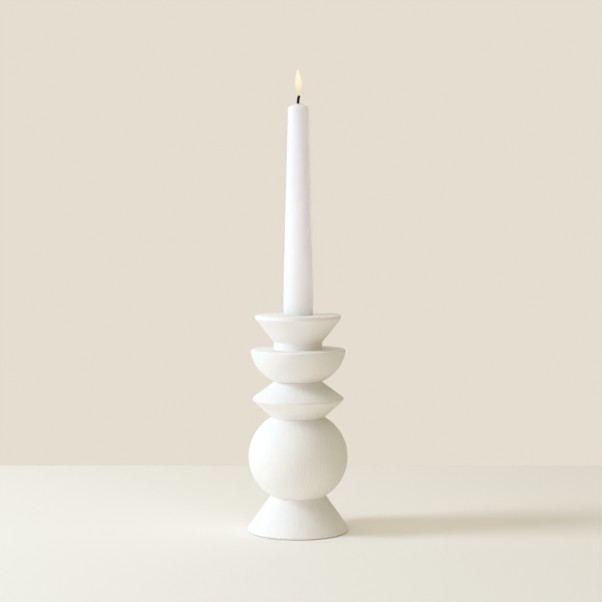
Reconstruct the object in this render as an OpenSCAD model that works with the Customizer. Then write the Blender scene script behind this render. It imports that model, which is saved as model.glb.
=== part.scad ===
// Candlestick of five turned and painted wood elements, stacked on a central tie rod,
// with a steel candle socket, a felt pad and a taper candle.
// +Z is up. The origin is on the axis, at the surface that the felt pad stands on.

/* [Foot] */
// Diameter of the cone foot
foot_d = 77; // [64:0.2:90]
// Height of the cone foot
foot_h = 26.7; // [22:0.1:34]
// Height of the upright edge round the foot
foot_edge_h = 1.5; // [1.2:0.1:3]
// Diameter of the waist between the foot and the ball
foot_waist_d = 41.8; // [36:0.2:46]

/* [Ball] */
// Diameter of the ball at its middle
ball_d = 75.4; // [66:0.2:84]
// Radius of the ball's side curve, a little flatter than a true sphere's
ball_curve_r = 34.5; // [32:0.1:36]
// Diameter of the waist between the ball and the double cone
ball_waist_d = 40.2; // [36:0.2:44]

/* [Double cone] */
// Diameter of the double cone at its edge
double_d = 69.2; // [60:0.2:80]
// Height of the double cone
double_h = 27.5; // [24:0.1:32]
// Height of the middle of its edge above its underside
double_edge_z = 14.2; // [11:0.1:16]
// Height of its blunt edge
double_edge_h = 1.7; // [1.6:0.1:3]
// Diameter of the waist between the double cone and the bowl
double_waist_d = 35.2; // [32:0.2:40]

/* [Bowl] */
// Diameter that the bowl's side curve comes to, just above the rim
bowl_d = 72.6; // [66:0.2:80]
// Height of the bowl
bowl_h = 24.5; // [22:0.1:25]
// Radius of the bowl's side curve
bowl_curve_r = 28.9; // [28:0.1:31]
// Radius of the rounded rim
bowl_rim_r = 1.3; // [0.8:0.1:2]

/* [Cup] */
// Diameter of the cup at its rim
cup_d = 65; // [56:0.2:76]
// Height of the cup
cup_h = 26.1; // [24:0.1:30]
// Height of the upright edge round the rim
cup_edge_h = 2.9; // [2.4:0.1:5]
// Diameter of the cup's neck
cup_neck_d = 36.6; // [32:0.1:42]
// Height of the straight neck under the cup
cup_neck_h = 5.3; // [1:0.1:7]

/* [Joints between the elements] */
// Diameter of the spigot turned under each element
spigot_d = 22; // [18:0.5:24]
// Length of each spigot
spigot_h = 4; // [3:0.1:5]
// Radial gap for glue round a spigot
spigot_gap = 0.1; // [0.05:0.01:0.2]
// Diameter of the tie rod
rod_d = 6; // [5:0.5:6]
// Radial gap between the tie rod and the wood
rod_gap = 0.3; // [0.2:0.05:0.5]

/* [Candle socket] */
// Bore of the socket, for a 22 mm taper candle
socket_bore_d = 22.8; // [22.6:0.1:23.2]
// Depth of the socket
socket_depth = 20; // [15:0.5:20]
// Wall of the pressed steel socket
socket_wall = 1; // [0.8:0.1:1.2]
// Diameter of the flange let into the cup's top
socket_flange_d = 28.4; // [27.6:0.1:30]
// Thickness of the flange
socket_flange_t = 0.8; // [0.6:0.1:1]

/* [Underside] */
// Thickness of the felt pad
felt_t = 1.2; // [1:0.1:2]
// How far the felt stands below the wood
felt_proud = 0.4; // [0.3:0.1:0.8]
// Diameter of the felt pad
felt_d = 70; // [60:0.5:72]
// Diameter of the pocket for the washer and nut
pocket_d = 25; // [23:0.5:28]
// Height of the pocket's ceiling above the table
pocket_z = 11; // [10.5:0.1:14]

/* [Candle] */
// Diameter of the candle above the socket
candle_d = 22.2; // [20:0.1:22.4]
// Diameter of the candle at its foot
candle_foot_d = 21.8; // [20:0.1:22]
// Diameter of the candle at its shoulder
candle_top_d = 15.1; // [12:0.1:18]
// Length of the candle from its foot to its shoulder
candle_length = 177; // [120:0.2:260]
// Height of the wax dome above the shoulder
candle_dome_h = 2.4; // [1:0.1:3]
// Diameter of the wick
wick_d = 2.2; // [1.4:0.1:2.4]
// Radius that the burnt end of the wick curls to
wick_curl_r = 24; // [12:0.5:40]
// Angle that the burnt end curls through
wick_curl = 12; // [5:1:35]

/* [Hidden] */
$fn = 180;

paint = "#f4f2ec";
steel = "#b9bcc0";

// How far a side curve of radius arc_r, widest at radius wide_r, climbs from radius neck_r
function arc_rise(arc_r, wide_r, neck_r) = sqrt(pow(arc_r, 2) - pow(neck_r - wide_r + arc_r, 2));

ball_low = arc_rise(ball_curve_r, ball_d / 2, foot_waist_d / 2);
ball_high = arc_rise(ball_curve_r, ball_d / 2, ball_waist_d / 2);
bowl_low = arc_rise(bowl_curve_r, bowl_d / 2, double_waist_d / 2);

// Level of the underside of each element
base_z = felt_proud;
ball_z = base_z + foot_h;
double_z = ball_z + ball_low + ball_high;
bowl_z = double_z + double_h;
cup_z = bowl_z + bowl_h;
top_z = cup_z + cup_h;

// The side curve stops here, where the rim begins to round over
rim_z = cup_z - bowl_rim_r;
rim_r = bowl_d / 2 - bowl_curve_r + sqrt(pow(bowl_curve_r, 2) - pow(bowl_z + bowl_low - rim_z, 2));

// Small roundings that the paint leaves on the edges
soft_edge = 0.45;
soft_rim = 0.8;

hole_r = rod_d / 2 + rod_gap;
recess_r = spigot_d / 2 + spigot_gap;
recess_h = spigot_h + 0.3;

socket_floor_z = top_z - socket_depth;
socket_floor_t = 1.6;
socket_r = socket_bore_d / 2 + socket_wall;
boss_r = 6;
boss_h = 12;
boss_bottom_z = socket_floor_z - socket_floor_t - boss_h;
boss_gap = 0.2;
thread_top_z = socket_floor_z - 2.6;

washer_d = 20;
washer_t = 1.6;
nut_af = 10;
nut_h = 5;
rod_bottom_z = pocket_z - washer_t - nut_h - 1.8;
rod_top_z = thread_top_z - 0.5;
rod_chamfer = 0.6;

shoulder_z = socket_floor_z + candle_length;
// The candle keeps its full diameter from just above the socket to here
straight_low_z = top_z + 7;
straight_high_z = top_z + 17;
wick_base_z = shoulder_z + candle_dome_h;

function unit(v) = v / norm(v);
function half_angle(a, b, c) = acos(unit(a - b) * unit(c - b)) / 2;

// An outline whose corners are rounded to the given radii; 0 keeps a corner sharp
module soft_outline(points, radii) {
    n = len(points);
    function before(i) = points[(i + n - 1) % n];
    function after(i) = points[(i + 1) % n];
    function half(i) = half_angle(before(i), points[i], after(i));
    function on_edge(i, end) = points[i] + unit(end - points[i]) * radii[i] / tan(half(i));
    polygon([for (i = [0:n - 1]) each radii[i] > 0
        ? [on_edge(i, before(i)), on_edge(i, after(i))]
        : [points[i]]]);
    for (i = [0:n - 1]) if (radii[i] > 0) {
        inward = unit(unit(before(i) - points[i]) + unit(after(i) - points[i]));
        translate(points[i] + inward * radii[i] / sin(half(i)))
            circle(radii[i]);
    }
}

// The half-outline of a curved side, from level low to level high, widest at wide_z
module curved_outline(arc_r, wide_r, wide_z, low, high) {
    intersection() {
        translate([wide_r - arc_r, wide_z])
            circle(arc_r);
        translate([0, low])
            square([wide_r + 1, high - low]);
    }
    core_r = wide_r - arc_r;
    translate([0, low])
        square([core_r + 1, high - low]);
}

module round_bar(d, low, high) {
    translate([0, 0, low])
        cylinder(d = d, h = high - low);
}

// A spigot that reaches below an element's underside
module spigot(level) {
    round_bar(spigot_d, level - spigot_h, level + 0.5);
}

// The recess for the next element's spigot, in a top at the given level
module recess(level) {
    round_bar(2 * recess_r, level - recess_h, level + 1);
}

// The hole for the tie rod, right through an element
module rod_hole(low, high) {
    round_bar(2 * hole_r, low - spigot_h - 1, high + 1);
}

module base() {
    color(paint) difference() {
        rotate_extrude() soft_outline(
            [[0, base_z], [foot_d / 2, base_z], [foot_d / 2, base_z + foot_edge_h],
             [foot_waist_d / 2, ball_z], [0, ball_z]],
            [0, soft_edge, soft_rim, 0, 0]);
        recess(ball_z);
        rod_hole(base_z, ball_z);
        round_bar(felt_d + 0.4, base_z - 1, felt_t);
        round_bar(pocket_d, base_z, pocket_z);
    }
}

module ball() {
    color(paint) difference() {
        union() {
            rotate_extrude()
                curved_outline(ball_curve_r, ball_d / 2, ball_z + ball_low, ball_z, double_z);
            spigot(ball_z);
        }
        recess(double_z);
        rod_hole(ball_z, double_z);
    }
}

module double_cone() {
    edge_low = double_z + double_edge_z - double_edge_h / 2;
    color(paint) difference() {
        union() {
            rotate_extrude() soft_outline(
                [[0, double_z], [ball_waist_d / 2, double_z], [double_d / 2, edge_low],
                 [double_d / 2, edge_low + double_edge_h], [double_waist_d / 2, bowl_z],
                 [0, bowl_z]],
                [0, 0, soft_rim, soft_rim, 0, 0]);
            spigot(double_z);
        }
        recess(bowl_z);
        rod_hole(double_z, bowl_z);
    }
}

module bowl() {
    lap = 0.01;
    color(paint) difference() {
        union() {
            rotate_extrude()
                curved_outline(bowl_curve_r, bowl_d / 2, bowl_z + bowl_low, bowl_z, rim_z);
            rotate_extrude() soft_outline(
                [[0, rim_z - lap], [rim_r, rim_z - lap], [rim_r, cup_z], [0, cup_z]],
                [0, 0, bowl_rim_r, 0]);
            spigot(bowl_z);
        }
        recess(cup_z);
        rod_hole(bowl_z, cup_z);
        round_bar(2 * (boss_r + boss_gap), boss_bottom_z - 0.5, cup_z + 1);
    }
}

module cup() {
    color(paint) difference() {
        union() {
            rotate_extrude() soft_outline(
                [[0, cup_z], [cup_neck_d / 2, cup_z], [cup_neck_d / 2, cup_z + cup_neck_h],
                 [cup_d / 2, top_z - cup_edge_h], [cup_d / 2, top_z], [0, top_z]],
                [0, 0, 0, 1.2, soft_edge, 0]);
            spigot(cup_z);
        }
        round_bar(2 * (socket_r + 0.1), socket_floor_z - socket_floor_t - 0.2, top_z + 1);
        round_bar(socket_flange_d + 0.2, top_z - socket_flange_t, top_z + 1);
        round_bar(2 * (boss_r + boss_gap), cup_z - spigot_h - 1, top_z);
    }
}

module candle_socket() {
    color(paint) difference() {
        union() {
            round_bar(2 * socket_r, socket_floor_z - socket_floor_t, top_z);
            round_bar(socket_flange_d, top_z - socket_flange_t, top_z);
            round_bar(2 * boss_r, boss_bottom_z, socket_floor_z - socket_floor_t + 0.5);
        }
        round_bar(socket_bore_d, socket_floor_z, top_z + 1);
        round_bar(rod_d, boss_bottom_z - 1, thread_top_z);
    }
}

module tie_rod() {
    color(steel) rotate_extrude() polygon([
        [0, rod_bottom_z], [rod_d / 2 - rod_chamfer, rod_bottom_z],
        [rod_d / 2, rod_bottom_z + rod_chamfer], [rod_d / 2, rod_top_z - rod_chamfer],
        [rod_d / 2 - rod_chamfer, rod_top_z], [0, rod_top_z]]);
}

module washer() {
    color(steel) difference() {
        round_bar(washer_d, pocket_z - washer_t, pocket_z);
        round_bar(rod_d + 0.4, pocket_z - washer_t - 1, pocket_z + 1);
    }
}

module nut() {
    top = pocket_z - washer_t;
    across_corners = nut_af / cos(30);
    chamfer = 0.7;
    color(steel) difference() {
        intersection() {
            translate([0, 0, top - nut_h])
                cylinder(d = across_corners, h = nut_h, $fn = 6);
            rotate_extrude() polygon([
                [0, top - nut_h], [nut_af / 2, top - nut_h],
                [across_corners / 2 + 0.2, top - nut_h + chamfer],
                [across_corners / 2 + 0.2, top - chamfer], [nut_af / 2, top], [0, top]]);
        }
        round_bar(rod_d, top - nut_h - 1, top + 1);
    }
}

module felt_pad() {
    color("#8d8474") round_bar(felt_d, 0, felt_t);
}

module candle() {
    foot_chamfer = 1;
    dome_r = candle_top_d / 2 - 1.2;
    color("#f6f3f4") difference() {
        rotate_extrude() soft_outline(
            [[0, socket_floor_z], [candle_foot_d / 2 - foot_chamfer, socket_floor_z],
             [candle_foot_d / 2, socket_floor_z + foot_chamfer],
             [candle_d / 2, straight_low_z], [candle_d / 2, straight_high_z],
             [candle_top_d / 2, shoulder_z], [dome_r * 0.45, wick_base_z], [0, wick_base_z]],
            [0, 0, 0, 0, 0, 1.2, 2, 0]);
        round_bar(wick_d, socket_floor_z - 1, wick_base_z + 1);
    }
}

// The burnt end curls towards +X from just above the wax
module wick() {
    bend_z = wick_base_z + 0.3;
    $fn = 24;
    color("#1d1917") {
        round_bar(wick_d, socket_floor_z, bend_z);
        translate([wick_curl_r, 0, bend_z])
            rotate([90, 0, 180])
                rotate_extrude(angle = wick_curl)
                    translate([wick_curl_r, 0])
                        circle(d = wick_d);
    }
}

base();
ball();
double_cone();
bowl();
cup();
candle_socket();
tie_rod();
washer();
nut();
felt_pad();
candle();
wick();
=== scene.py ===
"""Candlestick maker: turned and painted wood, a wax candle with its wick, and the stage they stand on.

Lengths are metres, and every size given in millimetres is turned to metres by mm().
"""

import math
from collections import namedtuple

import bpy
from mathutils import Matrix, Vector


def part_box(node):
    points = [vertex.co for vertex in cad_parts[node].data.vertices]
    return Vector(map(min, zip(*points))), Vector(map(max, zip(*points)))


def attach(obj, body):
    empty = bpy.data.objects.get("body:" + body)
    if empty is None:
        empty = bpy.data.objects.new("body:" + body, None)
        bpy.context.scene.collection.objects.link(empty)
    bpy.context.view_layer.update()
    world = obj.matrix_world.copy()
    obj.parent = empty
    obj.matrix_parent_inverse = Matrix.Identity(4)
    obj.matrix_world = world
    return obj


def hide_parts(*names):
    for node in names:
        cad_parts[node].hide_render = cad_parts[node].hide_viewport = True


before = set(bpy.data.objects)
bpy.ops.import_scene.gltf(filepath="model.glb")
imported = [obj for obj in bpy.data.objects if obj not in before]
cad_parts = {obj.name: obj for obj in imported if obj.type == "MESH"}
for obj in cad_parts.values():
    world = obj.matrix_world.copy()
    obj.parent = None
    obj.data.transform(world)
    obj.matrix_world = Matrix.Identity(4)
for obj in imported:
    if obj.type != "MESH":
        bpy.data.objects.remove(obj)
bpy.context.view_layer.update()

bl_info = {
    "name": "Turned candlestick",
    "version": (1, 0, 0),
    "blender": (4, 5, 0),
    "location": "View3D > Sidebar > Candlestick",
    "description": "Makes a painted wood candlestick with its candle around a packed frame",
    "category": "Object",
}


def mm(length):
    return length / 1000


def linear(hex_colour):
    """An sRGB hex colour as linear red, green, blue and alpha."""
    parts = [int(hex_colour[i : i + 2], 16) / 255 for i in (1, 3, 5)]
    return tuple(c / 12.92 if c <= 0.04045 else ((c + 0.055) / 1.055) ** 2.4 for c in parts) + (1.0,)


def add(tree, kind, inputs=None, **settings):
    """Adds a node with its settings; inputs maps each socket to a value or to the socket that feeds it."""
    node = tree.nodes.new(kind)
    for name, value in settings.items():
        setattr(node, name, value)
    for name, value in (inputs or {}).items():
        if isinstance(value, bpy.types.NodeSocket):
            tree.links.new(value, node.inputs[name])
        else:
            node.inputs[name].default_value = value
    return node


# ---------------------------------------------------------------- sizes and colours


def size(name, description, default, low, high):
    """A length in metres, given in millimetres."""
    return bpy.props.FloatProperty(
        name=name,
        description=description,
        default=mm(default),
        min=mm(low),
        max=mm(high),
        subtype="DISTANCE",
        unit="LENGTH",
        precision=5,
    )


def colour(name, description, hex_colour):
    return bpy.props.FloatVectorProperty(
        name=name, description=description, default=linear(hex_colour), size=4, min=0, max=1, subtype="COLOR"
    )


class TurnedSizes(bpy.types.PropertyGroup):
    """The lathe's sizes that the frame's boxes do not give"""

    foot_edge_h: size("Foot edge", "Height of the upright edge round the foot", 1.5, 1.2, 3)
    foot_waist_d: size("Foot waist", "Diameter of the waist between the foot and the ball", 41.8, 36, 46)
    ball_curve_r: size("Ball curve", "Radius of the ball's side curve", 34.5, 32, 36)
    ball_waist_d: size("Ball waist", "Diameter of the waist above the ball", 40.2, 36, 44)
    double_edge_z: size("Double cone edge", "Height of the edge above the underside", 14.2, 11, 16)
    double_edge_h: size("Double cone edge height", "Height of the blunt edge", 1.7, 1.6, 3)
    double_waist_d: size("Double cone waist", "Diameter of the waist above the double cone", 35.2, 32, 40)
    bowl_curve_r: size("Bowl curve", "Radius of the bowl's side curve", 28.9, 28, 31)
    bowl_rim_r: size("Bowl rim", "Radius of the bowl's rounded rim", 1.3, 0.8, 2)
    cup_edge_h: size("Cup edge", "Height of the upright edge round the rim", 2.9, 2.4, 5)
    cup_neck_d: size("Cup neck", "Diameter of the cup's neck", 36.6, 32, 42)
    cup_neck_h: size("Cup neck height", "Height of the straight neck", 5.3, 1, 7)
    spigot_h: size("Spigot", "Length of the spigot under each element", 4, 3, 5)
    spigot_d: size("Spigot diameter", "Diameter of each spigot", 22, 18, 24)
    rod_hole_d: size("Rod hole", "Diameter of the hole for the tie rod", 6.6, 5.4, 7)
    fibre_w: size("Fibre width", "Width of one fibre of the wood", 1.3, 0.5, 3)
    fibre_l: size("Fibre length", "Length of one fibre of the wood", 14, 4, 40)
    ring_run: size("Ring run", "How far a growth ring runs on from front to back", 9, 1, 40)
    fibre_depth: size("Fibre depth", "How deep the grain shows through the paint", 0.1, 0, 0.2)


class CandleSizes(bpy.types.PropertyGroup):
    """The candle's sizes that the frame's boxes do not give"""

    foot_d: size("Foot", "Diameter of the candle at its foot", 21.8, 20, 22)
    top_d: size("Shoulder", "Diameter of the candle at its shoulder", 15.1, 12, 18)
    dome_h: size("Dome", "Height of the wax dome above the shoulder", 2.4, 1, 3)
    wick_d: size("Wick", "Diameter of the braided wick", 2.2, 1.4, 2.4)
    curl_r: size("Wick curl", "Radius that the burnt end curls to", 24, 12, 40)
    flame_h: size("Flame", "Height of the flame above the wick", 20.4, 10, 30)
    flame_d: size("Flame width", "Widest diameter of the flame", 5.3, 3, 10)
    flame_lean: size("Flame lean", "How far the flame's foot lies to the right of its tip", 1.1, 0, 3)


class Finishes(bpy.types.PropertyGroup):
    """The colours that a user would change"""

    paint: colour("Paint", "Warm white matt paint", "#F8F7F4")
    wax: colour("Wax", "Bleached paraffin wax", "#FFFDFF")
    felt: colour("Felt", "Wool felt under the foot", "#77705F")
    table: colour("Table", "Top of the table", "#FFFCF8")


# ---------------------------------------------------------------- outlines turned on the axis

# A corner of an outline: its radius and height, the radius that rounds it off, the radius of
# the curve that leaves it (0 is a straight), and whether the stretch that leaves it shows grain
Corner = namedtuple("Corner", "r z soft curve skin", defaults=(0.0, 0.0, False))

SIDE_STEP = mm(1.1)
HIDDEN_STEP = mm(5)
SOFT_STEPS = 5


def arc_centre(a, b, radius):
    """The centre of the arc from a to b that bulges away from the axis."""
    half = math.dist(a, b) / 2
    rise = math.sqrt(radius**2 - half**2)
    along = ((b[0] - a[0]) / (2 * half), (b[1] - a[1]) / (2 * half))
    return ((a[0] + b[0]) / 2 - along[1] * rise, (a[1] + b[1]) / 2 + along[0] * rise)


def stretch(a, b, curve, step):
    """Points from a up to but not including b, on a straight or on an arc."""
    count = max(1, math.ceil(math.dist(a, b) / step))
    if not curve:
        return [(a[0] + (b[0] - a[0]) * i / count, a[1] + (b[1] - a[1]) * i / count) for i in range(count)]
    centre = arc_centre(a, b, curve)
    start = math.atan2(a[1] - centre[1], a[0] - centre[0])
    end = math.atan2(b[1] - centre[1], b[0] - centre[0])
    turns = [start + (end - start) * i / count for i in range(count)]
    return [(centre[0] + curve * math.cos(t), centre[1] + curve * math.sin(t)) for t in turns]


def softened(before, corner, after):
    """The points that round off one corner, from the stretch before it to the stretch after it."""
    here = (corner.r, corner.z)
    arms = []
    for other in (before, after):
        reach = math.dist(here, (other.r, other.z))
        arms.append(((other.r - here[0]) / reach, (other.z - here[1]) / reach))
    half = math.acos(arms[0][0] * arms[1][0] + arms[0][1] * arms[1][1]) / 2
    cut = corner.soft / math.tan(half)
    middle = (arms[0][0] + arms[1][0], arms[0][1] + arms[1][1])
    scale = corner.soft / math.sin(half) / math.hypot(*middle)
    centre = (here[0] + middle[0] * scale, here[1] + middle[1] * scale)
    ends = [(here[0] + arm[0] * cut, here[1] + arm[1] * cut) for arm in arms]
    start, end = (math.atan2(p[1] - centre[1], p[0] - centre[0]) for p in ends)
    swing = (end - start + math.pi) % (2 * math.pi) - math.pi
    turns = [start + swing * i / SOFT_STEPS for i in range(SOFT_STEPS + 1)]
    return [(centre[0] + corner.soft * math.cos(t), centre[1] + corner.soft * math.sin(t)) for t in turns]


def outline(corners):
    """A closed outline as (radius, height, grain) points."""
    count = len(corners)
    rounded = []
    for i, corner in enumerate(corners):
        before, after = corners[i - 1], corners[(i + 1) % count]
        rounded.append(softened(before, corner, after) if corner.soft else [(corner.r, corner.z)])
    points = []
    for i, corner in enumerate(corners):
        skin_before = corners[i - 1].skin
        for p in rounded[i][:-1]:
            points.append((*p, float(corner.skin or skin_before)))
        start, end = rounded[i][-1], rounded[(i + 1) % count][0]
        step = SIDE_STEP if corner.skin else HIDDEN_STEP
        for n, p in enumerate(stretch(start, end, corner.curve, step)):
            shows = corner.skin or (n == 0 and skin_before)
            points.append((*p, float(shows)))
    return points


def outline_mesh(name, points):
    """The outline as a wire mesh in the XZ plane, with a grain value on each point."""
    wire = bpy.data.meshes.new(name)
    edges = [(i, (i + 1) % len(points)) for i in range(len(points))]
    wire.from_pydata([(r, 0, z) for r, z, _ in points], edges, [])
    grain = wire.attributes.new("grain", "FLOAT", "POINT")
    grain.data.foreach_set("value", [g for _, _, g in points])
    return wire


def new_inputs(tree, *rows):
    """Gives a geometry tree its input and output sockets; each row is a name, a kind and a default."""
    tree.interface.new_socket("Geometry", in_out="INPUT", socket_type="NodeSocketGeometry")
    tree.interface.new_socket("Geometry", in_out="OUTPUT", socket_type="NodeSocketGeometry")
    for name, kind, default in rows:
        socket = tree.interface.new_socket(name, in_out="INPUT", socket_type=kind)
        if default is not None:
            socket.default_value = default


def lathe_tree():
    """Turns the wire outline about the axis and presses the wood's grain into its skin."""
    tree = bpy.data.node_groups.new("Lathe", "GeometryNodeTree")
    new_inputs(
        tree,
        ("Segments", "NodeSocketInt", 480),
        ("Grain width", "NodeSocketFloat", mm(1.3)),
        ("Grain run", "NodeSocketFloat", mm(9)),
        ("Grain length", "NodeSocketFloat", mm(14)),
        ("Grain depth", "NodeSocketFloat", mm(0.03)),
        ("Seed", "NodeSocketFloat", 0.0),
        ("Sharp angle", "NodeSocketFloat", math.radians(32)),
        ("Finish", "NodeSocketMaterial", None),
    )
    given = add(tree, "NodeGroupInput").outputs
    wire = given["Geometry"]
    domain = add(tree, "GeometryNodeAttributeDomainSize", {"Geometry": wire}, component="MESH")
    points = domain.outputs["Point Count"]
    rows = add(tree, "ShaderNodeMath", {0: points, 1: 1.0}, operation="ADD").outputs[0]
    columns = add(tree, "ShaderNodeMath", {0: given["Segments"], 1: 1.0}, operation="ADD").outputs[0]
    sheet = add(tree, "GeometryNodeMeshGrid", {"Vertices X": columns, "Vertices Y": rows}).outputs["Mesh"]

    # Each point of the sheet takes its radius and height from one point of the outline
    index = add(tree, "GeometryNodeInputIndex").outputs[0]
    row = add(tree, "ShaderNodeMath", {0: index, 1: rows}, operation="MODULO").outputs[0]
    closed = add(tree, "ShaderNodeMath", {0: row, 1: points}, operation="MODULO").outputs[0]
    share = add(tree, "ShaderNodeMath", {0: index, 1: rows}, operation="DIVIDE").outputs[0]
    column = add(tree, "ShaderNodeMath", {0: share}, operation="FLOOR").outputs[0]
    turn = add(tree, "ShaderNodeMath", {0: column, 1: given["Segments"]}, operation="DIVIDE").outputs[0]
    angle = add(tree, "ShaderNodeMath", {0: turn, 1: math.tau}, operation="MULTIPLY").outputs[0]
    place = add(tree, "GeometryNodeInputPosition").outputs[0]
    on_outline = add(
        tree,
        "GeometryNodeSampleIndex",
        {"Geometry": wire, "Value": place, "Index": closed},
        data_type="FLOAT_VECTOR",
    ).outputs[0]
    turned = add(
        tree,
        "ShaderNodeVectorRotate",
        {"Vector": on_outline, "Angle": angle},
        rotation_type="Z_AXIS",
    ).outputs[0]
    grain_value = add(
        tree, "GeometryNodeInputNamedAttribute", {"Name": "grain"}, data_type="FLOAT"
    ).outputs[0]
    grain = add(
        tree,
        "GeometryNodeSampleIndex",
        {"Geometry": wire, "Value": grain_value, "Index": closed},
        data_type="FLOAT",
    ).outputs[0]
    held = add(
        tree,
        "GeometryNodeStoreNamedAttribute",
        {"Geometry": sheet, "Name": "grain", "Value": grain},
        data_type="FLOAT",
        domain="POINT",
    ).outputs[0]
    shaped = add(tree, "GeometryNodeSetPosition", {"Geometry": held, "Position": turned}).outputs[0]
    whole = add(tree, "GeometryNodeMergeByDistance", {"Geometry": shaped, "Distance": mm(0.004)}).outputs[0]

    # Growth rings: narrow from side to side, and long from front to back and along the axis
    grain_size = add(
        tree,
        "ShaderNodeCombineXYZ",
        {"X": given["Grain width"], "Y": given["Grain run"], "Z": given["Grain length"]},
    ).outputs[0]
    fibre_place = add(tree, "ShaderNodeVectorMath", {0: place, 1: grain_size}, operation="DIVIDE").outputs[0]
    fibre = add(
        tree,
        "ShaderNodeTexNoise",
        {"Vector": fibre_place, "W": given["Seed"], "Scale": 1.0},
        noise_dimensions="4D",
    ).outputs[0]
    level = add(tree, "ShaderNodeMath", {0: fibre, 1: 0.5}, operation="SUBTRACT").outputs[0]
    depth = add(tree, "ShaderNodeMath", {0: level, 1: given["Grain depth"]}, operation="MULTIPLY").outputs[0]
    kept = add(tree, "GeometryNodeInputNamedAttribute", {"Name": "grain"}, data_type="FLOAT").outputs[0]
    masked = add(tree, "ShaderNodeMath", {0: depth, 1: kept}, operation="MULTIPLY").outputs[0]
    normal = add(tree, "GeometryNodeInputNormal").outputs[0]
    push = add(tree, "ShaderNodeVectorMath", {0: normal, "Scale": masked}, operation="SCALE").outputs[0]
    grained = add(tree, "GeometryNodeSetPosition", {"Geometry": whole, "Offset": push}).outputs[0]

    bend = add(tree, "GeometryNodeInputMeshEdgeAngle").outputs[0]
    sharp = add(
        tree, "ShaderNodeMath", {0: bend, 1: given["Sharp angle"]}, operation="GREATER_THAN"
    ).outputs[0]
    smooth = add(tree, "GeometryNodeSetShadeSmooth", {"Geometry": grained}, domain="FACE").outputs[0]
    creased = add(
        tree,
        "GeometryNodeSetShadeSmooth",
        {"Geometry": smooth, "Selection": sharp, "Shade Smooth": False},
        domain="EDGE",
    ).outputs[0]
    real = add(tree, "GeometryNodeRealizeInstances", {"Geometry": creased}).outputs[0]
    done = add(tree, "GeometryNodeSetMaterial", {"Geometry": real, "Material": given["Finish"]}).outputs[0]
    add(tree, "NodeGroupOutput", {"Geometry": done})
    return tree


def grown(name, seed, tree, values):
    """Runs a geometry tree on a seed mesh or curve and keeps the result as a plain mesh object."""
    obj = bpy.data.objects.new(name, seed)
    bpy.context.scene.collection.objects.link(obj)
    modifier = obj.modifiers.new(tree.name, "NODES")
    modifier.node_group = tree
    for item in tree.interface.items_tree:
        if item.item_type == "SOCKET" and item.in_out == "INPUT" and item.name in values:
            modifier[item.identifier] = values[item.name]
    depsgraph = bpy.context.evaluated_depsgraph_get()
    made = bpy.data.meshes.new_from_object(obj.evaluated_get(depsgraph), depsgraph=depsgraph)
    made.name = name
    bpy.data.objects.remove(obj)
    piece = bpy.data.objects.new(name, made)
    bpy.context.scene.collection.objects.link(piece)
    if not made.polygons:
        raise RuntimeError(f"{name} came out empty")
    return piece


# ---------------------------------------------------------------- materials


def new_material(name):
    material = bpy.data.materials.new(name)
    material.use_nodes = True
    material.node_tree.nodes.clear()
    return material, material.node_tree


def pattern_space(tree, across, along, run=None):
    """Object coordinates counted in pattern lengths: across in X, run (or across) in Y, along in Z."""
    coords = add(tree, "ShaderNodeTexCoord").outputs["Object"]
    scale = (1 / across, 1 / (run or across), 1 / along)
    return add(tree, "ShaderNodeMapping", {"Vector": coords, "Scale": scale}).outputs[0]


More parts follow.
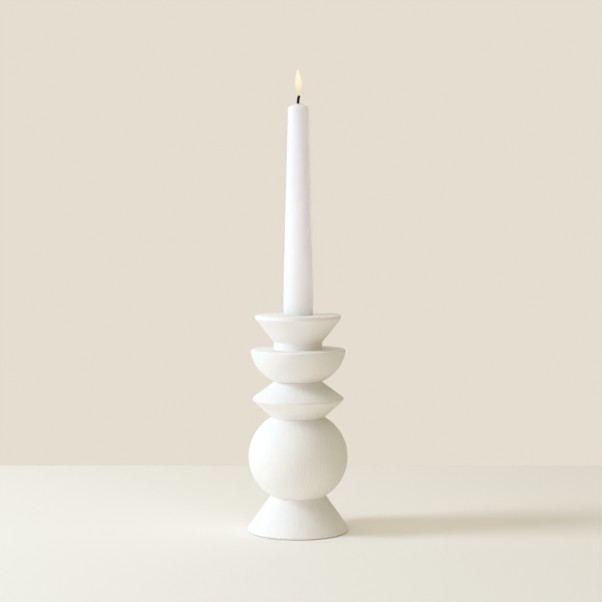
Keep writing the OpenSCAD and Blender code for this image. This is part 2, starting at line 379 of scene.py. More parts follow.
def painted_wood(wood, finishes):
    """Matt emulsion over turned open-grained wood: chalky, with the grain's long pores just showing."""
    material, tree = new_material("matt_painted_wood")
    # Fibres 1.3 mm wide and 14 mm long, in growth rings that run 9 mm on, as on the mesh
    fibres = add(
        tree,
        "ShaderNodeTexNoise",
        {
            "Vector": pattern_space(tree, wood.fibre_w, wood.fibre_l, wood.ring_run),
            "Scale": 1.0,
            "Detail": 3.0,
        },
    ).outputs[0]
    # Pores 0.5 mm wide and 4 mm long
    pores = add(
        tree,
        "ShaderNodeTexNoise",
        {"Vector": pattern_space(tree, mm(0.5), mm(4)), "Scale": 1.0},
    ).outputs[0]
    open_pores = add(
        tree, "ShaderNodeMapRange", {"Value": pores, "From Min": 0.3, "From Max": 0.45}
    ).outputs[0]
    # The roller's fine stipple, 0.25 mm
    stipple = add(
        tree, "ShaderNodeTexNoise", {"Vector": pattern_space(tree, mm(0.25), mm(0.25)), "Scale": 1.0}
    ).outputs[0]
    # Cloudy thick and thin paint, 18 mm
    cloud = add(
        tree, "ShaderNodeTexNoise", {"Vector": pattern_space(tree, mm(18), mm(25)), "Scale": 1.0}
    ).outputs[0]
    thin = add(
        tree, "ShaderNodeMapRange", {"Value": cloud, "From Min": 0.3, "From Max": 0.7, "To Max": 0.5}
    ).outputs[0]
    grainy = add(tree, "ShaderNodeMath", {0: fibres, 1: thin}, operation="MULTIPLY").outputs[0]
    closed = add(tree, "ShaderNodeMath", {0: 1.0, 1: open_pores}, operation="SUBTRACT").outputs[0]
    dark = add(
        tree, "ShaderNodeMath", {0: closed, 1: 0.35, 2: grainy}, operation="MULTIPLY_ADD", use_clamp=True
    )
    undercoat = tuple(c * s for c, s in zip(finishes.paint[:3], (0.93, 0.92, 0.895))) + (1.0,)
    coat = add(
        tree,
        "ShaderNodeMix",
        {"Factor": dark.outputs[0], "A": tuple(finishes.paint), "B": undercoat},
        data_type="RGBA",
    )
    rough = add(
        tree,
        "ShaderNodeMapRange",
        {"Value": fibres, "From Min": 0.3, "From Max": 0.7, "To Min": 0.72, "To Max": 0.86},
    ).outputs[0]
    grain_bump = add(tree, "ShaderNodeBump", {"Height": fibres, "Distance": mm(0.22)}).outputs[0]
    pore_bump = add(
        tree,
        "ShaderNodeBump",
        {"Height": open_pores, "Strength": 0.5, "Distance": mm(0.03), "Normal": grain_bump},
    ).outputs[0]
    skin_bump = add(
        tree,
        "ShaderNodeBump",
        {"Height": stipple, "Strength": 0.4, "Distance": mm(0.012), "Normal": pore_bump},
    ).outputs[0]
    shader = add(
        tree,
        "ShaderNodeBsdfPrincipled",
        {
            "Base Color": coat.outputs["Result"],
            "Roughness": rough,
            "Normal": skin_bump,
            "Specular IOR Level": 0.35,
        },
    )
    add(tree, "ShaderNodeOutputMaterial", {"Surface": shader.outputs[0]})
    return material


def painted_steel(finishes):
    """Pressed steel under the same matt paint, rubbed a little smoother where candles slide in."""
    material, tree = new_material("matt_painted_steel")
    # Rubbed marks 0.4 mm wide and 6 mm long, up and down the bore
    rubs = add(
        tree,
        "ShaderNodeTexNoise",
        {"Vector": pattern_space(tree, mm(0.4), mm(6)), "Scale": 1.0, "Detail": 4.0},
    ).outputs[0]
    worn = add(
        tree, "ShaderNodeMapRange", {"Value": rubs, "From Min": 0.55, "From Max": 0.75, "To Max": 0.6}
    ).outputs[0]
    dull = tuple(c * 0.82 for c in finishes.paint[:3]) + (1.0,)
    coat = add(
        tree, "ShaderNodeMix", {"Factor": worn, "A": tuple(finishes.paint), "B": dull}, data_type="RGBA"
    ).outputs["Result"]
    rough = add(
        tree,
        "ShaderNodeMapRange",
        {"Value": rubs, "From Min": 0.3, "From Max": 0.8, "To Min": 0.7, "To Max": 0.45},
    ).outputs[0]
    bump = add(tree, "ShaderNodeBump", {"Height": rubs, "Strength": 0.3, "Distance": mm(0.02)}).outputs[0]
    shader = add(
        tree, "ShaderNodeBsdfPrincipled", {"Base Color": coat, "Roughness": rough, "Normal": bump}
    )
    add(tree, "ShaderNodeOutputMaterial", {"Surface": shader.outputs[0]})
    return material


def zinc_plate():
    """Bright zinc plate on drawn steel: a pale grey metal with fine spangle and draw lines."""
    material, tree = new_material("zinc_plated_steel")
    # Spangle 0.8 mm across, draw lines 0.15 mm apart
    spangle = add(
        tree, "ShaderNodeTexVoronoi", {"Vector": pattern_space(tree, mm(0.8), mm(0.8)), "Scale": 1.0}
    ).outputs["Color"]
    drawn = add(
        tree, "ShaderNodeTexNoise", {"Vector": pattern_space(tree, mm(0.15), mm(8)), "Scale": 1.0}
    ).outputs[0]
    tint = add(
        tree,
        "ShaderNodeMix",
        {"Factor": drawn, "A": linear("#AEB2B8"), "B": linear("#C6C8CB")},
        data_type="RGBA",
    ).outputs["Result"]
    rough = add(
        tree, "ShaderNodeMapRange", {"Value": spangle, "To Min": 0.28, "To Max": 0.42}
    ).outputs[0]
    bump = add(tree, "ShaderNodeBump", {"Height": drawn, "Strength": 0.3, "Distance": mm(0.01)}).outputs[0]
    shader = add(
        tree,
        "ShaderNodeBsdfPrincipled",
        {"Base Color": tint, "Metallic": 1.0, "Roughness": rough, "Normal": bump},
    )
    add(tree, "ShaderNodeOutputMaterial", {"Surface": shader.outputs[0]})
    return material


def paraffin_wax(finishes, shoulder_z, top_z):
    """Dipped paraffin wax: satin, a little see-through, and glossier where the flame melted it."""
    material, tree = new_material("paraffin_wax")
    coords = add(tree, "ShaderNodeTexCoord").outputs["Object"]
    height = add(tree, "ShaderNodeSeparateXYZ", {"Vector": coords}).outputs["Z"]
    melted = add(
        tree,
        "ShaderNodeMapRange",
        {"Value": height, "From Min": shoulder_z - mm(3), "From Max": top_z},
    ).outputs[0]
    # Slow waves left by dipping, 9 mm across and 35 mm long, and a 0.6 mm bloom
    waves = add(
        tree,
        "ShaderNodeTexNoise",
        {"Vector": pattern_space(tree, mm(9), mm(35)), "Scale": 1.0, "Detail": 1.0},
    ).outputs[0]
    bloom = add(
        tree,
        "ShaderNodeTexNoise",
        {"Vector": pattern_space(tree, mm(0.6), mm(1.2)), "Scale": 1.0, "Detail": 3.0},
    ).outputs[0]
    warm = tuple(c * s for c, s in zip(finishes.wax[:3], (0.998, 0.99, 0.98))) + (1.0,)
    spread = add(
        tree, "ShaderNodeMapRange", {"Value": bloom, "From Min": 0.3, "From Max": 0.7, "To Max": 0.35}
    ).outputs[0]
    body = add(
        tree, "ShaderNodeMix", {"Factor": spread, "A": tuple(finishes.wax), "B": warm}, data_type="RGBA"
    ).outputs["Result"]
    satin = add(
        tree,
        "ShaderNodeMapRange",
        {"Value": bloom, "From Min": 0.3, "From Max": 0.7, "To Min": 0.42, "To Max": 0.52},
    ).outputs[0]
    rough = add(tree, "ShaderNodeMath", {0: melted, 1: -0.2, 2: satin}, operation="MULTIPLY_ADD").outputs[0]
    wave_bump = add(
        tree, "ShaderNodeBump", {"Height": waves, "Strength": 0.5, "Distance": mm(0.12)}
    ).outputs[0]
    bloom_bump = add(
        tree, "ShaderNodeBump", {"Height": bloom, "Strength": 0.2, "Distance": mm(0.008), "Normal": wave_bump}
    ).outputs[0]
    shader = add(
        tree,
        "ShaderNodeBsdfPrincipled",
        {
            "Base Color": body,
            "Roughness": rough,
            "Normal": bloom_bump,
            "IOR": 1.44,
            "Subsurface Weight": 1.0,
            "Subsurface Radius": (1.0, 0.95, 0.9),
            "Subsurface Scale": mm(14),
        },
    )
    add(tree, "ShaderNodeOutputMaterial", {"Surface": shader.outputs[0]})
    return material


def burnt_cotton(bend_z, tip_z):
    """Braided cotton, waxy cream inside the candle and charred black where it stands in the flame."""
    material, tree = new_material("burnt_cotton_wick")
    coords = add(tree, "ShaderNodeTexCoord").outputs["Object"]
    height = add(tree, "ShaderNodeSeparateXYZ", {"Vector": coords}).outputs["Z"]
    # Threads 0.2 mm
    threads = add(
        tree,
        "ShaderNodeTexNoise",
        {"Vector": pattern_space(tree, mm(0.2), mm(0.5)), "Scale": 1.0, "Detail": 3.0},
    ).outputs[0]
    ragged = add(
        tree, "ShaderNodeMath", {0: threads, 1: mm(0.8), 2: height}, operation="MULTIPLY_ADD"
    ).outputs[0]
    charred = add(
        tree,
        "ShaderNodeMapRange",
        {"Value": ragged, "From Min": bend_z - mm(1.2), "From Max": bend_z - mm(0.2)},
    ).outputs[0]
    ash = add(
        tree,
        "ShaderNodeMapRange",
        {"Value": ragged, "From Min": tip_z - mm(1.2), "From Max": tip_z + mm(0.6), "To Max": 0.5},
    ).outputs[0]
    black = add(
        tree,
        "ShaderNodeMix",
        {"Factor": threads, "A": linear("#030202"), "B": linear("#110D0A")},
        data_type="RGBA",
    ).outputs["Result"]
    tipped = add(
        tree, "ShaderNodeMix", {"Factor": ash, "A": black, "B": linear("#241C17")}, data_type="RGBA"
    ).outputs["Result"]
    thread_colour = add(
        tree, "ShaderNodeMix", {"Factor": charred, "A": linear("#D9CFBD"), "B": tipped}, data_type="RGBA"
    ).outputs["Result"]
    bump = add(tree, "ShaderNodeBump", {"Height": threads, "Strength": 0.7, "Distance": mm(0.1)}).outputs[0]
    shader = add(
        tree, "ShaderNodeBsdfPrincipled", {"Base Color": thread_colour, "Roughness": 0.9, "Normal": bump}
    )
    add(tree, "ShaderNodeOutputMaterial", {"Surface": shader.outputs[0]})
    return material


def wool_felt(finishes):
    """Pressed wool felt: a soft, directionless mat of fibres with a light fuzz."""
    material, tree = new_material("wool_felt")
    # Hairs 0.3 mm apart in two tangled layers
    hairs = add(
        tree,
        "ShaderNodeTexNoise",
        {"Vector": pattern_space(tree, mm(0.3), mm(0.3)), "Scale": 1.0, "Detail": 5.0, "Distortion": 2.5},
    ).outputs[0]
    mat = add(
        tree, "ShaderNodeTexNoise", {"Vector": pattern_space(tree, mm(3), mm(3)), "Scale": 1.0}
    ).outputs[0]
    dark = tuple(c * 0.62 for c in finishes.felt[:3]) + (1.0,)
    blend = add(tree, "ShaderNodeMath", {0: hairs, 1: mat}, operation="MULTIPLY").outputs[0]
    mixed = add(
        tree, "ShaderNodeMapRange", {"Value": blend, "From Min": 0.15, "From Max": 0.4}
    ).outputs[0]
    wool = add(
        tree, "ShaderNodeMix", {"Factor": mixed, "A": dark, "B": tuple(finishes.felt)}, data_type="RGBA"
    ).outputs["Result"]
    bump = add(tree, "ShaderNodeBump", {"Height": hairs, "Strength": 0.8, "Distance": mm(0.15)}).outputs[0]
    shader = add(
        tree,
        "ShaderNodeBsdfPrincipled",
        {"Base Color": wool, "Roughness": 0.95, "Normal": bump, "Sheen Weight": 0.35, "Sheen Roughness": 0.5},
    )
    add(tree, "ShaderNodeOutputMaterial", {"Surface": shader.outputs[0]})
    return material


# ---------------------------------------------------------------- the pieces


def span(node):
    """A node's radius, its lowest level and its highest."""
    low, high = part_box(node)
    return (high.y - low.y) / 2, low.z, high.z


def element_outlines(wood):
    """The outline of each turned element, from the frame's boxes and the lathe's own sizes."""
    hole = wood.rod_hole_d / 2
    glue_gap, depth_gap = mm(0.1), mm(0.3)
    felt_gap, flange_gap, boss_gap = mm(0.2), mm(0.1), mm(0.5)
    flange_t, floor_t = mm(0.8), mm(1.8)
    recess_r = wood.spigot_d / 2 + glue_gap
    recess_h = wood.spigot_h + depth_gap
    spigot_r = wood.spigot_d / 2
    soft_edge, soft_rim, soft_lip = mm(0.45), mm(0.8), mm(1.2)

    foot_r, base_z, ball_z = span("base")
    ball_r, _, double_z = span("ball")
    double_r, _, bowl_z = span("double_cone")
    bowl_r, _, cup_z = span("bowl")
    cup_r, _, top_z = span("cup")
    felt_r, _, felt_z = span("felt_pad")
    pocket_z = span("washer")[2]
    socket_r, boss_z, _ = span("candle_socket")
    candle_z = span("candle")[1]
    pocket_r = mm(12.5)
    bore_r = mm(12.5)
    boss_r = mm(6.2)
    flange_z = top_z - flange_t
    seat_z = candle_z - floor_t
    foot_waist, ball_waist = wood.foot_waist_d / 2, wood.ball_waist_d / 2
    double_waist, neck = wood.double_waist_d / 2, wood.cup_neck_d / 2
    edge_z = double_z + wood.double_edge_z - wood.double_edge_h / 2
    rim_z = cup_z - wood.bowl_rim_r

    def socket(level):
        """The recess in an element's top, from its skin inwards and down to the rod hole."""
        return [Corner(recess_r, level), Corner(recess_r, level - recess_h), Corner(hole, level - recess_h)]

    def spigot(level):
        """The spigot under an element, from the rod hole outwards and up to its skin."""
        low = level - wood.spigot_h
        return [Corner(hole, low), Corner(spigot_r, low), Corner(spigot_r, level)]

    return {
        "base": [
            Corner(hole, pocket_z),
            Corner(pocket_r, pocket_z),
            Corner(pocket_r, felt_z),
            Corner(felt_r + felt_gap, felt_z),
            Corner(felt_r + felt_gap, base_z),
            Corner(foot_r, base_z, soft_edge, 0, True),
            Corner(foot_r, base_z + wood.foot_edge_h, soft_rim, 0, True),
            Corner(foot_waist, ball_z),
            *socket(ball_z),
        ],
        "ball": [
            *spigot(ball_z),
            Corner(foot_waist, ball_z, 0, wood.ball_curve_r, True),
            Corner(ball_waist, double_z),
            *socket(double_z),
        ],
        "double_cone": [
            *spigot(double_z),
            Corner(ball_waist, double_z, 0, 0, True),
            Corner(double_r, edge_z, soft_rim, 0, True),
            Corner(double_r, edge_z + wood.double_edge_h, soft_rim, 0, True),
            Corner(double_waist, bowl_z),
            *socket(bowl_z),
        ],
        "bowl": [
            *spigot(bowl_z),
            Corner(double_waist, bowl_z, 0, wood.bowl_curve_r, True),
            Corner(bowl_r, rim_z, 0, 0, True),
            Corner(bowl_r, cup_z, wood.bowl_rim_r, 0, True),
            Corner(recess_r, cup_z),
            Corner(recess_r, cup_z - recess_h),
            Corner(boss_r, cup_z - recess_h),
            Corner(boss_r, boss_z - boss_gap),
            Corner(hole, boss_z - boss_gap),
        ],
        "cup": [
            Corner(boss_r, cup_z - wood.spigot_h),
            Corner(spigot_r, cup_z - wood.spigot_h),
            Corner(spigot_r, cup_z),
            Corner(neck, cup_z, 0, 0, True),
            Corner(neck, cup_z + wood.cup_neck_h, 0, 0, True),
            Corner(cup_r, top_z - wood.cup_edge_h, soft_lip, 0, True),
            Corner(cup_r, top_z, soft_edge, 0, True),
            Corner(socket_r + flange_gap, top_z),
            Corner(socket_r + flange_gap, flange_z),
            Corner(bore_r, flange_z),
            Corner(bore_r, seat_z),
            Corner(boss_r, seat_z),
        ],
    }


class TurnElements(bpy.types.Operator):
    """Turn the foot, ball, double cone, bowl and cup, and paint them"""

    bl_idname = "candlestick.turn_elements"
    bl_label = "Turn the wood"

    def execute(self, context):
        wood, finishes = context.scene.candlestick_wood, context.scene.candlestick_finishes
        paint = painted_wood(wood, finishes)
        tree = lathe_tree()
        for number, (node, corners) in enumerate(element_outlines(wood).items()):
            values = {
                "Grain width": wood.fibre_w,
                "Grain run": wood.ring_run,
                "Grain length": wood.fibre_l,
                "Grain depth": wood.fibre_depth,
                "Seed": float(number),
                "Finish": paint,
            }
            piece = grown("turned_" + node, outline_mesh(node + "_outline", outline(corners)), tree, values)
            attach(piece, "holder")
            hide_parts(node)
        return {"FINISHED"}


class FitHardware(bpy.types.Operator):
    """Paint the candle socket, and plate the tie rod, washer and nut"""

    bl_idname = "candlestick.fit_hardware"
    bl_label = "Finish the steel"

    def execute(self, context):
        coats = {"candle_socket": painted_steel(context.scene.candlestick_finishes)}
        zinc = zinc_plate()
        coats |= {"tie_rod": zinc, "washer": zinc, "nut": zinc}
        for node, coat in coats.items():
            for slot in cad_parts[node].material_slots:
                slot.material = coat
        return {"FINISHED"}


class LayFelt(bpy.types.Operator):
    """Lay the felt pad in the foot"""

    bl_idname = "candlestick.lay_felt"
    bl_label = "Lay the felt"

    def execute(self, context):
        wood, finishes = context.scene.candlestick_wood, context.scene.candlestick_finishes
        felt_r, low_z, high_z = span("felt_pad")
        centre_r, cut, nap = mm(0.5), mm(0.35), mm(0.9)
        corners = [
            Corner(centre_r, low_z, 0, 0, True),
            Corner(felt_r, low_z, cut, 0, True),
            Corner(felt_r, high_z, cut, 0, True),
            Corner(centre_r, high_z),
        ]
        values = {
            "Segments": 360,
            "Grain width": nap,
            "Grain run": nap,
            "Grain length": nap,
            "Grain depth": wood.fibre_depth * 1.5,
            "Seed": 7.0,
            "Finish": wool_felt(finishes),
        }
        piece = grown("felt_disc", outline_mesh("felt_outline", outline(corners)), lathe_tree(), values)
        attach(piece, "holder")
        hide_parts("felt_pad")
        return {"FINISHED"}


class DipCandle(bpy.types.Operator):
    """Make the wax candle"""

    bl_idname = "candlestick.dip_candle"
    bl_label = "Dip the candle"

    def execute(self, context):
        sizes, finishes = context.scene.candlestick_candle, context.scene.candlestick_finishes
        body_r, foot_z, top_z = span("candle")
        rim_z = span("cup")[2]
        shoulder_z = top_z - sizes.dome_h
        foot_r, shoulder_r, wick_r = sizes.foot_d / 2, sizes.top_d / 2, sizes.wick_d / 2
        foot_cut, dome_curve = mm(1), mm(14)
        # The candle keeps its full diameter between these heights above the cup, and long curves
        # round both bends
        straight_low, straight_high = mm(7), mm(17)
        low_curve, high_curve = mm(60), mm(200)
        corners = [
            Corner(wick_r, foot_z),
            Corner(foot_r - foot_cut, foot_z),
            Corner(foot_r, foot_z + foot_cut, mm(0.8), 0, True),
            Corner(body_r, rim_z + straight_low, low_curve, 0, True),
            Corner(body_r, rim_z + straight_high, high_curve, 0, True),
            Corner(shoulder_r, shoulder_z, mm(1), dome_curve, True),
            Corner(mm(2.4), top_z - mm(0.1), mm(0.4), 0, True),
            Corner(mm(1.6), top_z - mm(0.35), mm(0.3), 0, True),
            Corner(wick_r, top_z),
        ]
        values = {
            "Segments": 160,
            "Grain width": mm(16),
            "Grain run": mm(16),
            "Grain length": mm(30),
            "Grain depth": mm(0.12),
            "Seed": 9.0,
            "Sharp angle": math.radians(50),
            "Finish": paraffin_wax(finishes, shoulder_z, top_z),
        }
        piece = grown("wax_candle", outline_mesh("candle_outline", outline(corners)), lathe_tree(), values)
        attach(piece, "candle")
        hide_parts("candle")
        return {"FINISHED"}


def braid_tree():
    """Winds strands round a path and presses threads into them."""
    tree = bpy.data.node_groups.new("Braid", "GeometryNodeTree")
    new_inputs(
        tree,
        ("Strands", "NodeSocketInt", 3),
        ("Step", "NodeSocketFloat", mm(0.35)),
        ("Lay", "NodeSocketFloat", mm(3.4)),
        ("Strand radius", "NodeSocketFloat", mm(0.5)),
        ("Wind radius", "NodeSocketFloat", mm(0.45)),
        ("Fray", "NodeSocketFloat", mm(0.1)),
        ("Seed", "NodeSocketFloat", 4.0),
        ("Finish", "NodeSocketMaterial", None),
    )
    given = add(tree, "NodeGroupInput").outputs
    path = add(
        tree,
        "GeometryNodeResampleCurve",
        {"Curve": given["Geometry"], "Length": given["Step"]},
        mode="LENGTH",
    ).outputs[0]
    copies = add(
        tree, "GeometryNodeDuplicateElements", {"Geometry": path, "Amount": given["Strands"]}, domain="SPLINE"
    )
    run = add(tree, "GeometryNodeSplineParameter").outputs["Length"]
    turns = add(tree, "ShaderNodeMath", {0: run, 1: given["Lay"]}, operation="DIVIDE").outputs[0]
    phase = add(
        tree,
        "ShaderNodeMath",
        {0: copies.outputs["Duplicate Index"], 1: given["Strands"]},
        operation="DIVIDE",
    ).outputs[0]
    total = add(tree, "ShaderNodeMath", {0: turns, 1: phase}, operation="ADD").outputs[0]
    angle = add(tree, "ShaderNodeMath", {0: total, 1: math.tau}, operation="MULTIPLY").outputs[0]
    tangent = add(tree, "GeometryNodeInputTangent").outputs[0]
    side = add(tree, "GeometryNodeInputNormal").outputs[0]
    spun = add(
        tree,
        "ShaderNodeVectorRotate",
        {"Vector": side, "Axis": tangent, "Angle": angle},
        rotation_type="AXIS_ANGLE",
    ).outputs[0]
    out = add(
        tree, "ShaderNodeVectorMath", {0: spun, "Scale": given["Wind radius"]}, operation="SCALE"
    ).outputs[0]
    wound = add(
        tree, "GeometryNodeSetPosition", {"Geometry": copies.outputs["Geometry"], "Offset": out}
    ).outputs[0]
    ring = add(
        tree,
        "GeometryNodeCurvePrimitiveCircle",
        {"Resolution": 10, "Radius": given["Strand radius"]},
        mode="RADIUS",
    ).outputs[0]
    strands = add(
        tree, "GeometryNodeCurveToMesh", {"Curve": wound, "Profile Curve": ring, "Fill Caps": True}
    ).outputs[0]
    place = add(tree, "GeometryNodeInputPosition").outputs[0]
    threads = add(
        tree,
        "ShaderNodeTexNoise",
        {"Vector": place, "W": given["Seed"], "Scale": 1 / mm(0.5)},
        noise_dimensions="4D",
    ).outputs[0]
    level = add(tree, "ShaderNodeMath", {0: threads, 1: 0.5}, operation="SUBTRACT").outputs[0]
    fray = add(tree, "ShaderNodeMath", {0: level, 1: given["Fray"]}, operation="MULTIPLY").outputs[0]
    normal = add(tree, "GeometryNodeInputNormal").outputs[0]
    push = add(tree, "ShaderNodeVectorMath", {0: normal, "Scale": fray}, operation="SCALE").outputs[0]
    frayed = add(tree, "GeometryNodeSetPosition", {"Geometry": strands, "Offset": push}).outputs[0]
    smooth = add(tree, "GeometryNodeSetShadeSmooth", {"Geometry": frayed}).outputs[0]
    real = add(tree, "GeometryNodeRealizeInstances", {"Geometry": smooth}).outputs[0]
    done = add(tree, "GeometryNodeSetMaterial", {"Geometry": real, "Material": given["Finish"]}).outputs[0]
    add(tree, "NodeGroupOutput", {"Geometry": done})
    return tree


class BraidWick(bpy.types.Operator):
    """Braid the wick, and burn and curl its end"""

    bl_idname = "candlestick.braid_wick"
    bl_label = "Braid the wick"

    def execute(self, context):
        sizes = context.scene.candlestick_candle
        low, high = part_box("wick")
        bend_z = span("candle")[2] + mm(0.3)
        curl = math.asin(min(1.0, (high.z - bend_z) / (sizes.curl_r + sizes.wick_d / 2)))
        steps = 12
        turns = [curl * i / steps for i in range(steps + 1)]
        arc = [(sizes.curl_r * (1 - math.cos(t)), 0, bend_z + sizes.curl_r * math.sin(t)) for t in turns]
        hook_reach, hook_rise = mm(0.6), mm(0.1)
        hook = (arc[-1][0] + hook_reach, 0, arc[-1][2] + hook_rise)
        points = [(0, 0, low.z + mm(0.2)), *arc, hook]
        path = bpy.data.curves.new("wick_path", "CURVE")
        path.dimensions = "3D"
        spline = path.splines.new("POLY")
        spline.points.add(len(points) - 1)
        for point, place in zip(spline.points, points):
            point.co = (*place, 1)
        strand_share = 0.32
        strand_r = sizes.wick_d * strand_share
        values = {
            "Strand radius": strand_r,
            "Wind radius": sizes.wick_d / 2 - strand_r,
            "Finish": burnt_cotton(bend_z, high.z),
        }
        piece = grown("braided_wick", path, braid_tree(), values)
        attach(piece, "candle")
        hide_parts("wick")
        return {"FINISHED"}


# ---------------------------------------------------------------- the stage


def flame_gas(low_z, high_z):
    """Burning wax vapour: pale yellow where the soot glows, peach and clear low down."""
    material, tree = new_material("candle_flame_gas")
    coords = add(tree, "ShaderNodeTexCoord").outputs["Object"]
    height = add(tree, "ShaderNodeSeparateXYZ", {"Vector": coords}).outputs["Z"]
    share = add(
        tree, "ShaderNodeMapRange", {"Value": height, "From Min": low_z, "From Max": high_z}
    ).outputs[0]
    tint = add(tree, "ShaderNodeValToRGB", {"Fac": share})
    set_stops(tint.color_ramp, ((0.0, "#F4DCBE"), (0.4, "#FFE9CC"), (0.56, "#FFF6DA"), (1.0, "#FFF3D6")))
    glow = add(tree, "ShaderNodeEmission", {"Color": tint.outputs["Color"]}).outputs[0]
    # Flickers 1 mm across thin the lower part unevenly
    flicker = add(
        tree, "ShaderNodeTexNoise", {"Vector": pattern_space(tree, mm(1), mm(2)), "Scale": 1.0}
    ).outputs[0]
    uneven = add(tree, "ShaderNodeMath", {0: flicker, 1: 0.12, 2: share}, operation="MULTIPLY_ADD").outputs[0]
    dense = add(
        tree,
        "ShaderNodeMapRange",
        {"Value": uneven, "From Min": 0.18, "From Max": 0.54, "To Max": 0.94},
        interpolation_type="SMOOTHSTEP",
    ).outputs[0]
    clear = add(tree, "ShaderNodeBsdfTransparent").outputs[0]
    gas = add(tree, "ShaderNodeMixShader", {"Fac": dense, 1: clear, 2: glow}).outputs[0]
    add(tree, "ShaderNodeOutputMaterial", {"Surface": gas})
    return material


class LightFlame(bpy.types.Operator):
    """Light the flame, which goes with the candle but is no part of it"""

    bl_idname = "candlestick.light_flame"
    bl_label = "Light the flame"

    def execute(self, context):
        sizes = context.scene.candlestick_candle
        tip_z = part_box("wick")[1].z
        low, high = tip_z - mm(2), tip_z + sizes.flame_h
        rows = 24
        tip_taper, foot_swell, upright_share = mm(4.6), 2.4, 0.25
        body = []
        for i in range(rows + 1):
            share = i / rows
            from_tip = (high - low) * (1 - share)
            blade = (1 - math.exp(-from_tip / tip_taper)) * min(1.0, foot_swell * share) ** 0.5
            body.append((sizes.flame_d / 2 * blade, high - from_tip, 0.0))
        values = {"Segments": 32, "Grain depth": 0.0, "Finish": flame_gas(low, high)}
        flame = grown("flame", outline_mesh("flame_outline", body), lathe_tree(), values)
        for vertex in flame.data.vertices:
            vertex.co.x += sizes.flame_lean * ((high - vertex.co.z) / (high - low) - upright_share)
        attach(flame, "candle")
        return {"FINISHED"}


def table_top(finishes):
    """Smooth matt laminate, cream white."""
    material, tree = new_material("matt_laminate")
    fine = add(
        tree,
        "ShaderNodeTexNoise",
        {"Vector": pattern_space(tree, mm(1.5), mm(1.5)), "Scale": 1.0, "Detail": 3.0},
    ).outputs[0]
    darker = tuple(c * 0.97 for c in finishes.table[:3]) + (1.0,)
    tone = add(
        tree, "ShaderNodeMix", {"Factor": fine, "A": tuple(finishes.table), "B": darker}, data_type="RGBA"
    ).outputs["Result"]
    shader = add(
        tree, "ShaderNodeBsdfPrincipled", {"Base Color": tone, "Roughness": 0.75, "Specular IOR Level": 0.2}
    )
    add(tree, "ShaderNodeOutputMaterial", {"Surface": shader.outputs[0]})
    return material


def set_stops(ramp, stops):
    """Gives a colour ramp its stops, each a position and a hex colour."""
    while len(ramp.elements) < len(stops):
        ramp.elements.new(0.5)
    for element, (position, hex_colour) in zip(ramp.elements, stops):
        element.position, element.color = position, linear(hex_colour)


def plain_backdrop():
    """A plain pale studio backdrop, one soft warm white all over and evenly lit."""
    material, tree = new_material("studio_backdrop")
    light = add(tree, "ShaderNodeEmission", {"Color": linear("#E4DDD0")})
    add(tree, "ShaderNodeOutputMaterial", {"Surface": light.outputs[0]})
    return material


def pale_room():
    """A room that the camera sees as plain pale paint, and that glows a dim lamp-lit amber on all sides."""
    world = bpy.data.worlds.new("room")
    world.use_nodes = True
    world.node_tree.nodes.clear()
    paint = add(world.node_tree, "ShaderNodeBackground", {"Color": linear("#E6E0D4")}).outputs[0]
    amber = add(
        world.node_tree, "ShaderNodeBackground", {"Color": linear("#FFBF20"), "Strength": 0.155}
    ).outputs[0]
    seen = add(world.node_tree, "ShaderNodeLightPath").outputs["Is Camera Ray"]
    both = add(world.node_tree, "ShaderNodeMixShader", {"Fac": seen, 1: amber, 2: paint}).outputs[0]
    add(world.node_tree, "ShaderNodeOutputWorld", {"Surface": both})
    return world


def flat_sheet(name, corners, material):
    mesh = bpy.data.meshes.new(name)
    mesh.from_pydata(corners, [], [tuple(range(len(corners)))])
    mesh.materials.append(material)
    obj = bpy.data.objects.new(name, mesh)
    bpy.context.scene.collection.objects.link(obj)


def soft_light(name, azimuth, elevation, distance, width, height, power, hex_colour, aim_z=mm(100)):
    """A softbox aimed at the axis; azimuth 0 is at the camera's side, 90 at the left."""
    lamp = bpy.data.lights.new(name, "AREA")
    lamp.shape = "RECTANGLE"
    lamp.size, lamp.size_y = width, height
    lamp.energy = power
    lamp.color = linear(hex_colour)[:3]
    obj = bpy.data.objects.new(name, lamp)
    turn, rise = math.radians(azimuth), math.radians(elevation)
    obj.location = (
        -distance * math.cos(rise) * math.sin(turn),
        -distance * math.cos(rise) * math.cos(turn),
        distance * math.sin(rise) + aim_z,
    )
    obj.rotation_euler = (math.radians(90) - rise, 0, -turn)
    obj.visible_camera = False
    bpy.context.scene.collection.objects.link(obj)
    return obj


CAMERA_PLACE = (mm(2.2), mm(-1129), mm(236))
# Degrees that the camera looks down, then its sensor and lens in millimetres
CAMERA_DIP = 3.073
CAMERA_SENSOR = 36
CAMERA_LENS = 89.1


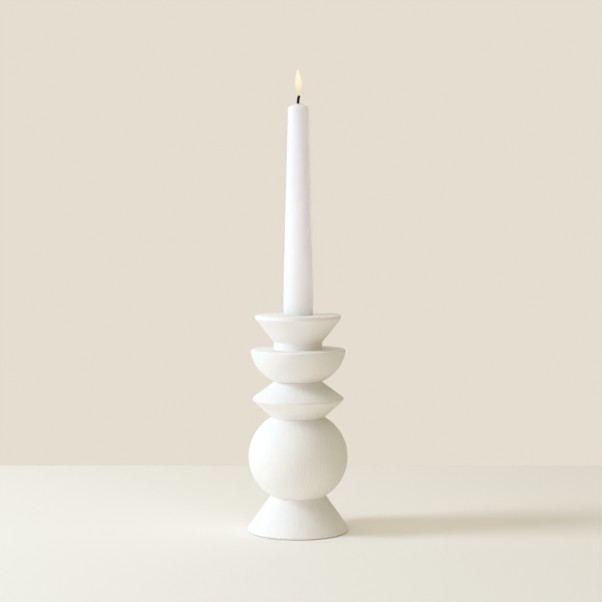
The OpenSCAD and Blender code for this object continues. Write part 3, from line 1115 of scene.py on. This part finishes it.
class SetStage(bpy.types.Operator):
    """Set out the table, the backdrop, the lights and the camera"""

    bl_idname = "candlestick.set_stage"
    bl_label = "Set the stage"

    def execute(self, context):
        scene = context.scene
        scene.view_settings.view_transform = "Standard"

        # Metres; the table ends a little behind the candlestick, and the backdrop stands behind it
        side, front, back = 1.1, -1.1, mm(300)
        corners = [(-side, front, 0), (side, front, 0), (side, back, 0), (-side, back, 0)]
        flat_sheet("table_top", corners, table_top(scene.candlestick_finishes))
        end, wall_y, low, high = 7.0, 1.6, -1.5, 3.0
        corners = [(-end, wall_y, low), (end, wall_y, low), (end, wall_y, high), (-end, wall_y, high)]
        flat_sheet("wall", corners, plain_backdrop())

        # Azimuth and elevation in degrees; distance, width and height in metres; watts and colour
        soft_light("key", 80, 34, 1.8, 0.5, 0.7, 18.0, "#DAEEFF")
        soft_light("front_fill", 0, 8, 2.4, 1.8, 0.5, 7.8, "#FFFCC6")
        soft_light("front_ceiling", 0, 45, 2.4, 1.8, 1.0, 3.4, "#6FAEFF")
        soft_light("left_fill", 45, 8, 2.4, 1.8, 0.5, 14.4, "#D2D6FF")
        soft_light("ceiling", 0, 80, 2.4, 2.0, 2.0, 18.8, "#FBFFED")
        # A gridded strip whose narrow beam reaches only the candle
        strip_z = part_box("candle")[1].z - mm(70)
        strip = soft_light("candle_strip", -45, 0, 1.2, 0.3, 0.16, 0.032, "#E3D8FF", strip_z)
        strip.data.spread = math.radians(6)

        scene.world = pale_room()

        camera = bpy.data.objects.new("camera", bpy.data.cameras.new("camera"))
        camera.data.sensor_width, camera.data.lens = CAMERA_SENSOR, CAMERA_LENS
        camera.location = CAMERA_PLACE
        camera.rotation_euler = (math.radians(90 - CAMERA_DIP), 0, 0)
        scene.collection.objects.link(camera)
        scene.camera = camera
        return {"FINISHED"}


# ---------------------------------------------------------------- the add-on

OPERATORS = (SetStage, TurnElements, FitHardware, LayFelt, DipCandle, BraidWick, LightFlame)
GROUPS = {
    "candlestick_wood": TurnedSizes,
    "candlestick_candle": CandleSizes,
    "candlestick_finishes": Finishes,
}


class CandlestickPanel(bpy.types.Panel):
    """Lists the candlestick's pieces and sizes"""

    bl_idname = "VIEW3D_PT_candlestick"
    bl_label = "Candlestick"
    bl_space_type = "VIEW_3D"
    bl_region_type = "UI"
    bl_category = "Candlestick"

    def draw(self, context):
        for operator in OPERATORS:
            self.layout.operator(operator.bl_idname)
        for name, group in GROUPS.items():
            box = self.layout.box()
            for field in group.__annotations__:
                box.prop(getattr(context.scene, name), field)


def register():
    for cls in (*GROUPS.values(), *OPERATORS, CandlestickPanel):
        bpy.utils.register_class(cls)
    for name, group in GROUPS.items():
        setattr(bpy.types.Scene, name, bpy.props.PointerProperty(type=group))


def unregister():
    for name in GROUPS:
        delattr(bpy.types.Scene, name)
    for cls in reversed((*GROUPS.values(), *OPERATORS, CandlestickPanel)):
        bpy.utils.unregister_class(cls)


def main():
    register()
    bpy.ops.candlestick.set_stage()
    bpy.ops.candlestick.turn_elements()
    bpy.ops.candlestick.fit_hardware()
    bpy.ops.candlestick.lay_felt()
    bpy.ops.candlestick.dip_candle()
    bpy.ops.candlestick.braid_wick()
    bpy.ops.candlestick.light_flame()


if __name__ == "__main__":
    main()
